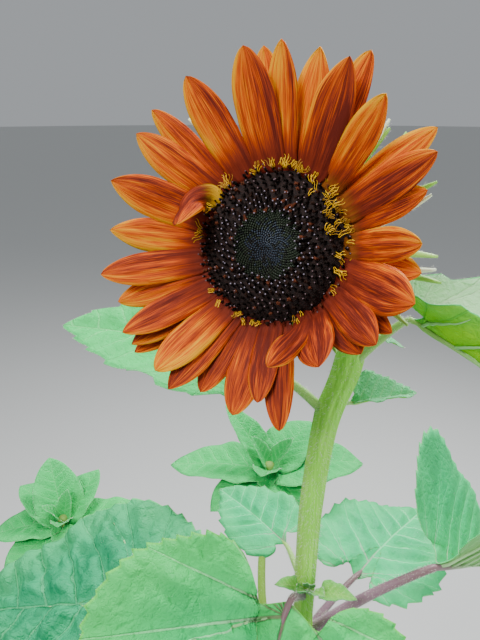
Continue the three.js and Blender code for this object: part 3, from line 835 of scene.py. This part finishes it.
bract_edges = []
for row, (count, length, width, (radius, height), lift, curl) in enumerate(BRACT_ROWS):
    blades = []
    for index in range(count):
        habit = random.Random(f"bract {row} {index}")
        reach = length * habit.uniform(0.85, 1.12)
        tilt = math.radians(lift + habit.gauss(0, 3))
        bend = math.radians(curl + habit.gauss(0, 4))
        sway = habit.gauss(0, 0.09)
        around = 360 * (index + row / 3 + habit.gauss(0, 0.1)) / count
        for first, last, stretch in BRACT_REGIONS:
            if first < (around + 20) % 360 - 20 < last:
                reach *= stretch
        turn = head_frame @ Matrix.Rotation(math.radians(around), 4, "Z")

        def bract_place(u, v):
            across = 2 * u - 1
            half = width / 2 * (1 - v) ** 0.75 * (0.62 + 0.9 * v * math.exp(-4 * v))
            angle = tilt + bend * v
            x = radius + reach * (v * math.cos(angle))
            z = height + reach * (v * math.sin(angle)) - 0.1 * half * across * across
            return Vector((x, across * half + sway * reach * v * v, z + 0.5 * math.cos(3 * across)))

        blade = surface(6, 18, bract_place)
        blade.transform(turn)
        for side in (0, 1):
            for step in range(2, BRACT_EDGE_STEPS):
                bract_edges.append(turn @ bract_place(side, step / BRACT_EDGE_STEPS))
        blades.append(blade)
    bract_green, _ = new_finish(f"bract_green_{row}", BRACT_GREENS[row], 0.55, sheen=0.15)
    piece(f"bracts_{row + 1}", together(blades), [bract_green], thickness=BRACT_THICKNESS)
chance = random.Random(13)
hairs = []
for place in bract_edges:
    out = (place - HEAD_CENTRE).normalized()
    for _ in range(3):
        hairs.append(bristle_at(place, out * 0.5 + any_way(0.5), chance.uniform(1.2, 2.9), 0.08))
piece("bract_bristles", copies(bristle, hairs), [bristle_white])

# Leaves: broad heart-shaped blades on long bristly stalks, toothed at the edge and puckered between
# pale sunken veins. The veins stand out below, where the midrib carries on from the stalk.
BLADE_MIDDLE = 0.34
BLADE_THICKNESS = 0.45
TOOTH_TIP = 0.84
TOOTH_STEPS = 12
FOLD_ROUND = 2
STALK_HAIRS = 9
EDGE_HAIRS = 40
HAIR_LENGTH = 1.7
VEINED_LENGTH = 60
VEIN_STEP = 0.012
VEIN_STEPS = 60
VEIN_LEAST = 5
VEIN_GAP = 0.15
VEIN_SLOPE = 0.52
VEIN_CURVE = 0.55
VEIN_FAN = 26
VEIN_FAN_START = 1
VEIN_SHIFT = 0.045
VEIN_PAIRS = 7
VEIN_REACH = 0.94
UV_SPAN = 1.25
UV_LEFT = 0.6
UV_BELOW = 0.15
CELL_SCALES = (22.0, 85.0)


def polar(length, around, rise):
    """A vector of a length, from its angle round the stem and its rise in degrees."""
    around, rise = math.radians(around), math.radians(rise)
    level = math.cos(rise)
    return length * Vector((level * math.cos(around), level * math.sin(around), math.sin(rise)))


def stem_share(height):
    """The share of the stem's length where its middle reaches a height."""
    low, high = 0, 1
    for _ in range(30):
        middle = (low + high) / 2
        low, high = (middle, high) if stem_route.at(middle)[0].z < height else (low, middle)
    return low


def near_whole(value):
    """0 where a value is whole, 1 halfway between."""
    return 2 * abs((value + 0.5) % 1 - 0.5)


def vein_order(across, along):
    """Where the side vein through a place leaves the midrib, for numbers and for shader sockets."""
    return along - across * VEIN_SLOPE - across * across * VEIN_CURVE


class Blade:
    """A leaf blade: a flat outline, x across and y along from the base, that is bent and turned."""

    def __init__(self, leaf, base, habit):
        self.leaf = leaf
        self.length = leaf["length"]
        self.middle = BLADE_MIDDLE * self.length
        self.turn = (
            Matrix.Translation(base)
            @ Matrix.Rotation(math.radians(leaf["heading"] - 90), 4, "Z")
            @ Matrix.Rotation(math.radians(leaf["pitch"]), 4, "X")
            @ Matrix.Rotation(math.radians(leaf["bank"]), 4, "Y")
        )
        lobes, full = leaf["lobes"], leaf.get("full", 0)
        notch, lobe_end = (0.2, 0.09 - 0.06 * lobes), (0.62, 0.11 - 0.22 * lobes)
        widest, tip = (0.97, 0.32 - 0.04 * lobes), (0, 1)
        curves = [
            [(0, 0), (0.07, 0.02), (0.16, 0.06), notch],
            [notch, (0.24, 0.09 - 0.2 * lobes), (0.44, 0.09 - 0.3 * lobes), lobe_end],
            [lobe_end, (0.82, 0.13 - 0.16 * lobes), (1.02, 0.2 - 0.1 * lobes), widest],
            [widest, (0.84 + 0.14 * full, 0.64 + 0.04 * full), (0.3 + 0.16 * full, 0.84 + 0.06 * full), tip],
        ]
        line = [Vector((0, 0, 0))]
        for curve in curves:
            line += interpolate_bezier(*[Vector((*point, 0)) for point in curve], 40)[1:]
        self.line = np.array([(point.x * leaf["width"] / 2, point.y * self.length) for point in line])
        steps = np.hypot(*np.diff(self.line, axis=0).T)
        self.marks = np.concatenate([[0], np.cumsum(steps)]) / steps.sum()
        around_middle = self.line - (0, self.middle)
        self.angles = np.arctan2(abs(around_middle[:, 0]), -around_middle[:, 1])
        self.reaches = np.hypot(*around_middle.T)
        self.teeth = round(steps.sum() / leaf["tooth_gap"]) if leaf["tooth_gap"] else 0
        self.tooth_size = leaf["tooth"] * self.length
        self.pucker = leaf["pucker"] * self.length / 200
        self.wave = leaf.get("wave", 0.018) * self.length
        self.phases = [habit.uniform(0, 6.28) for _ in range(5)]

    def flat(self, u, v):
        """The flat place of a grid point: u runs round from the base by the left, v out to the edge."""
        t = 1 - abs(2 * u - 1)
        side = -1 if u < 0.5 else 1
        x = float(np.interp(t, self.marks, self.line[:, 0]))
        y = float(np.interp(t, self.marks, self.line[:, 1])) - self.middle
        if self.teeth:
            here = t * self.teeth % 1
            tooth = (here * 1.2) ** 1.4 if here < TOOTH_TIP else (1 - here) * 6
            tooth *= 1 + 0.7 * noise.noise(Vector((7.3 * int(t * self.teeth), side * 3.1, self.phases[4])))
            naked = min(1, max(0, (t - 0.12) / 0.12)) * min(1, (1 - t) / 0.04)
            grown = 1 + self.tooth_size * (tooth - 0.35) * naked * v**6 / math.hypot(x, y)
            x, y = x * grown, y * grown
        return side * x * v, y * v + self.middle

    def edge_share(self, x, y):
        """How far out a flat place lies, as a share of the way from the middle to the edge."""
        y -= self.middle
        return math.hypot(x, y) / float(np.interp(math.atan2(abs(x), -y), self.angles, self.reaches))

    def vein_distance(self, x, y):
        """0 on a side vein and 1 halfway between two, at a flat place."""
        across, along = abs(x) / self.length, y / self.length - (VEIN_SHIFT if x > 0 else 0)
        order = vein_order(across, along)
        if order > 0:
            return near_whole(order / VEIN_GAP)
        return near_whole((math.degrees(math.atan2(along, across)) - VEIN_FAN_START) / VEIN_FAN)

    def bend(self, x, y, lift=0.0):
        """The place in space of a flat place, lifted off the blade."""
        arc, fold = math.radians(self.leaf["droop"]), math.radians(self.leaf["fold"])
        sag = arc * max(0, y) / self.length
        reach = math.sin(sag) / arc * self.length + min(0, y)
        drop = (1 - math.cos(sag)) / arc * self.length
        height = (math.hypot(x, FOLD_ROUND) - FOLD_ROUND) * math.sin(fold) + lift
        along, up = reach + height * math.sin(sag), height * math.cos(sag) - drop
        return self.turn @ Vector((x * math.cos(fold), along, up))

    def relief(self, x, y, share):
        """The height of the blade's puckers and of its wavy edge."""
        t = math.atan2(x, y - self.middle)
        waves = math.sin(5 * t + self.phases[0]) + 0.7 * math.sin(9 * t + self.phases[1])
        ridge = min(1, self.vein_distance(x, y) * 1.8) * min(1, abs(x) / (0.05 * self.length))
        crumple = noise.noise(Vector((x / 26, y / 26, self.phases[2])))
        crumple += 0.8 * noise.noise(Vector((x / 11, y / 11, self.phases[3])))
        inside = min(1, (1 - share) * 6 + 0.3)
        puckers = self.pucker * inside * (1.6 * ridge + crumple * (0.7 + 1.4 * ridge))
        return self.wave * waves * share**3 + puckers

    def point(self, u, v):
        x, y = self.flat(u, v)
        return self.bend(x, y, self.relief(x, y, v))

    def paint(self, u, v):
        x, y = self.flat(u, v)
        return (x / self.length + UV_LEFT) / UV_SPAN, (y / self.length + UV_BELOW) / UV_SPAN

    def skin(self, around, rings):
        """The blade's upper surface."""
        shape = surface(around, rings, self.point, paint=self.paint)
        bmesh.ops.remove_doubles(shape, verts=shape.verts, dist=MERGE_WITHIN)
        return shape

    def vein(self, x, y, depth):
        """A place just under the blade for the middle of a vein."""
        return self.bend(x, y, self.relief(x, y, min(1, self.edge_share(x, y))) - depth)

    def side_veins(self, thick):
        """The side veins as tubes, thickest at the bottom of the blade."""
        tubes = []
        for side in (-1, 1):
            shift = VEIN_SHIFT if side > 0 else 0
            for number in range(VEIN_PAIRS):
                order = number * VEIN_GAP
                line = []
                for step in range(VEIN_STEPS):
                    across = VEIN_STEP * step
                    along = order - vein_order(across, 0)
                    x, y = side * across * self.length, (along + shift) * self.length
                    if self.edge_share(x, y) > VEIN_REACH:
                        break
                    line.append((x, y))
                if len(line) < VEIN_LEAST:
                    continue
                width = thick * 0.42 * (1 - 0.75 * order)
                points = [self.vein(x, y, width * 1.05 + 0.3) for x, y in line[::2]]

                def radius_at(share):
                    return max(0.18, width * (1 - 0.8 * share))

                route = Route(points, UP)
                tubes.append(tube(route, 6, 14, radius_at, paint=lambda u, v: (u, 0.7 + 0.3 * v)))
        return tubes


def leaf_finish(name, colour, shadow, vein, light, root_vein=None, depth=0.6, edge=(0.1, 0.62, 0.18)):
    """Matt leaf skin: veins and their network from the blade's UV map, soft uneven patches of painted shade,
    and a pale rim that is partly painted light.
    """
    finish, start = new_finish(name, colour, 0.5, specular=0.1)
    u, v = start.pattern_map()
    x, y = u * UV_SPAN - UV_LEFT, v * UV_SPAN - UV_BELOW
    across = x.size()
    along = y - x.math("GREATER_THAN", x, 0.0) * VEIN_SHIFT
    wobble = start.grain(x * 7, y * 7) - 0.5
    order = vein_order(across, along) + wobble * 0.06
    upper = (order / VEIN_GAP).repeat() * VEIN_GAP
    fan_angle = start.math("ARCTAN2", along, across) * (180 / math.pi)
    fan = ((fan_angle - VEIN_FAN_START) / VEIN_FAN).repeat() * (VEIN_FAN * math.pi / 180) * (across + 0.02)
    is_upper = order.math("GREATER_THAN", order, 0.0)
    side = upper * 0.8 * is_upper + fan * (1 - is_upper)
    nearest = side.math("MINIMUM", side, across) + wobble * 0.004
    width = 0.0065 - across * 0.007
    main = 1 - (nearest / width.math("MAXIMUM", width, 0.002)).ease(0.35, 1.3)
    place = start.node("ShaderNodeCombineXYZ", {}, {"X": x + wobble * 0.03, "Y": y + wobble * 0.03})
    cells, small = [
        start.node("ShaderNodeTexVoronoi", {"feature": "DISTANCE_TO_EDGE"}, {"Vector": place, "Scale": scale})
        for scale in CELL_SCALES
    ]
    network = (1 - cells.ease(0.0, 0.09)) * 0.75 + (1 - small.ease(0.0, 0.16)) * 0.35
    patches = start.grain(x * 5, y * 5, detail=4.0)
    speckle = start.grain(x * 160, y * 160, detail=2.0)
    # Painted shade: the shadow colour laid on in soft patches.
    base = (patches.ease(0.42, 0.62) * 0.85 + speckle * 0.2).blend((*shadow, 1), (*colour, 1))
    base = (nearest.ease(0.0, 0.05) * 0.35).blend((*light, 1), base)
    base = (network * 0.32).blend(base, (*light, 1))
    far_out = start.math("SQRT", x * x + y * y)
    vein_colour = far_out.ramp((0.1, root_vein or vein), (0.3, vein))
    base = (main * (1 - across * 1.3)).blend(base, vein_colour)
    reach = start.trait("reach")
    # A pale rim, partly the pale hairs of the edge and partly painted light on them. It is strongest at the
    # edge and fades in to halfway out.
    rim = reach.ease(0.98, 1.0) * 0.7 + reach.ease(0.45, 1.0) * 0.28
    rim.blend(base, (*edge, 1)).drives(finish, "Base Color")
    bulge = cells.ease(0.0, 0.3) + small.ease(0.0, 0.3) * 0.35 - main * 1.2 + speckle * 0.15
    bulge.bump(depth, 0.8).drives(finish, "Normal")
    (0.4 + patches * 0.22).drives(finish, "Roughness")
    return finish


def stalk_finish(name, at_stem, at_blade, at_tip):
    """Stalk and vein skin, whose colour changes from the stem to the blade and on to its edge."""
    finish, start = new_finish(name, at_stem, 0.5, sheen=0.2)
    u, v = start.pattern_map()
    streaks = start.grain(u * 14, v * 50, detail=4.0)
    along = v + (streaks - 0.5) * 0.08
    colour = along.ramp((0.0, at_stem), (0.45, at_blade), (0.56, at_blade), (0.74, at_tip))
    (streaks * 0.2).blend(colour, (0.3, 0.4, 0.16, 1)).drives(finish, "Base Color")
    streaks.bump(0.25, 0.6).drives(finish, "Normal")
    return finish


PALE_VEIN = (0.3, 0.58, 0.24)
PURPLE_VEIN = (0.16, 0.06, 0.1)
stalk_finishes = {
    "green": stalk_finish("stalk_green", (0.22, 0.48, 0.08), (0.3, 0.56, 0.12), PALE_VEIN),
    "purple": stalk_finish("stalk_purple", (0.34, 0.16, 0.3), PURPLE_VEIN, PALE_VEIN),
    "pale": stalk_finish("stalk_pale", (0.4, 0.5, 0.26), (0.5, 0.6, 0.36), PALE_VEIN),
}
LEAF_COLOURS = {
    # The skin between the veins and the painted shade laid on it in soft darker patches, the veins, and the
    # paler skin that lies over all, most of all beside the veins. Then, where they differ, the veins next to
    # the stalk, how deep the fine relief is, and the rim, whose pale colour is partly the edge's pale hairs
    # and partly painted light on them.
    "bright": (
        (0.001, 0.46, 0.11), (0.0005, 0.1, 0.04), (0.34, 0.86, 0.4), (0.008, 0.54, 0.13),
        PURPLE_VEIN, 1.0, (0.12, 0.62, 0.08),
    ),
    "minty": (
        (0.001, 0.44, 0.15), (0.0005, 0.11, 0.045), (0.14, 0.68, 0.3), (0.008, 0.54, 0.19),
        (0.34, 0.3, 0.28), 0.25,
    ),
    "crinkled": (
        (0.008, 0.27, 0.11), (0.001, 0.055, 0.022), (0.06, 0.4, 0.17), (0.014, 0.34, 0.14),
        (0.22, 0.55, 0.28), 1.2,
    ),
    # A whitened green: painted sunlight and highlight over the leaf's own green.
    "fresh": ((0.5, 0.78, 0.44), (0.3, 0.66, 0.28), (0.7, 0.88, 0.6), (0.6, 0.84, 0.54)),
    # The small leaves' own green made paler with painted light.
    "mint": ((0.08, 0.68, 0.28), (0.02, 0.4, 0.14), (0.4, 0.86, 0.44), (0.2, 0.74, 0.34)),
    "young": ((0.006, 0.42, 0.08), (0.0005, 0.17, 0.03), (0.1, 0.6, 0.17), (0.02, 0.54, 0.12)),
    "tuft": ((0.14, 0.56, 0.04), (0.05, 0.38, 0.02), (0.36, 0.68, 0.16), (0.24, 0.62, 0.1)),
    "below": ((0.12, 0.38, 0.08), (0.08, 0.28, 0.05), (0.3, 0.55, 0.2), (0.18, 0.46, 0.13)),
    # A bright lime: painted light shining through the leaf, for the undersides of the upper and small right
    # leaves.
    "below_fresh": ((0.58, 0.92, 0.001), (0.42, 0.8, 0.001), (0.14, 0.5, 0.01), (0.22, 0.6, 0.002)),
}
leaf_finishes = {kind: leaf_finish(f"leaf_{kind}", *colours) for kind, colours in LEAF_COLOURS.items()}
STALK_TINTS = {
    "leaf_front": "purple", "leaf_mid_right": "purple", "leaf_rear_right": "purple", "leaf_low_left": "pale",
}
# Leaves whose undersides take the bright lime of painted light shining through them.
BACKLIT_LEAVES = ("leaf_upper_left", "leaf_upper_right", "leaf_small_right", "leaf_tiny_right")
MIDRIB_SHARES = (0.08, 0.2, 0.35, 0.5, 0.65, 0.8, 0.95)
chance = random.Random(23)
leaf_hairs = []


def grow_leaf(name, leaf, root, base, nodes, tint="green"):
    """Makes one leaf: its blade, its stalk with the midrib and side veins under it, and its hairs."""
    blade = Blade(leaf, base, random.Random(name))
    size = leaf["length"]
    around = TOOTH_STEPS * (blade.teeth or 7)
    rings = max(10, round(size / 9))
    # These leaves' undersides take painted light shining through them.
    kinds = [leaf_finishes[kind] for kind in (leaf["kind"], "below_fresh" if name in BACKLIT_LEAVES else "below")]
    piece(f"{name}_blade", blade.skin(around, rings), kinds, nodes, thickness=BLADE_THICKNESS)
    thick = leaf["thick"]
    stalk_length = (base - root).length
    arch = Vector((0, 0, 0.05 * stalk_length))
    points = [root, root.lerp(base, 0.5) + arch, base - Vector((0, 0, 0.6))]
    joint = len(points) - 1
    for share in MIDRIB_SHARES:
        points.append(blade.vein(0, share * size, thick * 0.6 * (1 - share) + 0.3))
    route = Route(points, Vector((0.2, 0.3, 1)))
    joint_share = route.marks[joint * Route.STEPS] / route.length

    def radius_at(share):
        if share < joint_share:
            return thick * (1.25 - 0.5 * share / joint_share)
        return max(0.22, thick * 0.72 * (1 - (share - joint_share) / (1 - joint_share)) ** 1.2)

    def groove(share, angle):
        return -0.12 * thick * max(0, math.cos(angle)) ** 3

    def paint(u, v):
        if v < joint_share:
            return u, 0.5 * v / joint_share
        return u, 0.5 + 0.5 * (v - joint_share) / (1 - joint_share)

    rings = max(30, round(route.length / 5))
    veins = [tube(route, 12, rings, radius_at, groove, paint)]
    veins += blade.side_veins(thick) if size > VEINED_LENGTH else []
    piece(f"{name}_stalk", together(veins), [stalk_finishes[tint]], nodes)
    hairs = round(stalk_length * STALK_HAIRS)
    leaf_hairs.extend(bristles_on(route, radius_at, hairs, 0, joint_share, HAIR_LENGTH, lean=0.1))
    for index in range(round(EDGE_HAIRS * math.sqrt(size))):
        u, v = chance.uniform(0.02, 0.98), 1 if index % 3 else chance.uniform(0.3, 1)
        edge = blade.point(u, v)
        out = (edge - blade.point(u, v - 0.08)).normalized() if v == 1 else blade.turn.to_3x3() @ UP
        leaf_hairs.append(bristle_at(edge, out + any_way(0.35), chance.uniform(0.6, 1.3), 0.075))


for name, leaf in LEAVES.items():
    root = stem_route.at(stem_share(leaf["height"]))[0]
    base = root + polar(leaf["stalk"], leaf["around"], leaf["rise"])
    grow_leaf(name, leaf, root, base, [name], STALK_TINTS.get(name, "green"))

# Side branches: two thin bristly shoots behind the main stem, each ending in a rosette of smooth
# young leaves round a bud.
BRANCHES = {
    "rear": [(3, 2, 860), (-10, 48, 935), (-30, 100, 1040), (-24, 149, 1135), (-22, 155, 1150)],
    "left": [(4, 3, 745), (-95, 62, 830), (-205, 140, 925), (-255, 187, 1032), (-256, 192, 1048)],
}
BRANCH_THICK = 4.6
BRANCH_HAIRS = 1500
ROSETTE_STALK = 2
ROSETTE_BUD = 6
ROSETTE_BUD_RISE = 5
ROSETTE_TERMS = ("heading", "pitch", "length", "width", "droop", "fold")
ROSETTES = {
    "rear": [
        (170, 8, 104, 66, 26, 8), (138, 48, 80, 38, 14, 20), (52, 22, 80, 60, 18, 12),
        (6, 14, 98, 78, 26, 6), (215, -2, 72, 50, 24, 10), (300, 4, 74, 50, 26, 10),
        (255, 34, 44, 30, 10, 22), (20, 55, 40, 26, 8, 26), (150, 62, 38, 24, 8, 28),
    ],
    "left": [
        (118, 50, 76, 58, 12, 12), (8, 10, 112, 58, 28, 8), (188, 6, 84, 56, 26, 8),
        (232, 0, 78, 52, 26, 10), (320, -4, 82, 54, 28, 10), (62, 34, 70, 48, 16, 14),
        (150, 28, 72, 48, 16, 12), (280, 40, 38, 26, 10, 24), (200, 58, 34, 22, 8, 28),
        (80, 66, 36, 22, 8, 28),
    ],
}
ROSETTE_HABIT = dict(
    thick=1.3, bank=0, lobes=0.5, kind="young", pucker=0.6, tooth_gap=20, tooth=0, wave=0.012, full=1,
)
branch_hairs = []


def branch_radius(share):
    return BRANCH_THICK * (1.25 - 0.6 * share)


for branch, points in BRANCHES.items():
    route = Route([Vector(point) for point in points], Vector((1, 0, 0)))
    shape = tube(route, 18, 90, branch_radius, lambda share, angle: 0.16 * math.cos(7 * angle))
    piece(f"branch_{branch}_body", shape, [stem_skin], [f"branch_{branch}"])
    branch_hairs += bristles_on(route, branch_radius, BRANCH_HAIRS, 0.05, 1, HAIR_LENGTH)
    top = Vector(points[-1])
    cluster = [f"young_leaves_{branch}"]
    for number, row in enumerate(ROSETTES[branch], start=1):
        young = dict(zip(ROSETTE_TERMS, row), **ROSETTE_HABIT)
        base = top + polar(ROSETTE_STALK, young["heading"], young["pitch"] + 10)
        grow_leaf(f"rosette_{branch}_{number}", young, top, base, cluster)
    bud_form = bmesh.new()
    bmesh.ops.create_icosphere(bud_form, subdivisions=3, radius=ROSETTE_BUD)
    bud_form.transform(Matrix.Translation(top + ROSETTE_BUD_RISE * UP) @ Matrix.Diagonal((1, 1, 0.9, 1)))
    piece(f"rosette_{branch}_bud", bud_form, [cup_green], cluster)
piece("branch_bristles", copies(bristle, branch_hairs), [bristle_white])

# Axil bud: a tuft of small woolly leaves where the front leaf's stalk meets the stem. They grow
# from one root, like the leaves of a rosette.
TUFT_ROOT = Vector((-1.5, -7.5, 1166))
TUFT_STALK = 6
TUFT = [(190, 40, 24, 17), (232, 55, 18, 13), (340, 24, 30, 20), (295, 50, 18, 13), (262, 74, 14, 10)]
TUFT_HABIT = dict(
    thick=0.9, droop=30, bank=0, fold=20, lobes=0, kind="tuft", pucker=0.5, tooth_gap=0, tooth=0, wave=0.02,
)
for number, row in enumerate(TUFT, start=1):
    small = dict(zip(ROSETTE_TERMS, row), **TUFT_HABIT)
    base = TUFT_ROOT + polar(TUFT_STALK, small["heading"], small["pitch"])
    grow_leaf(f"tuft_{number}", small, TUFT_ROOT, base, ["axil_bud"])
piece("leaf_bristles", copies(bristle, leaf_hairs), [bristle_white])
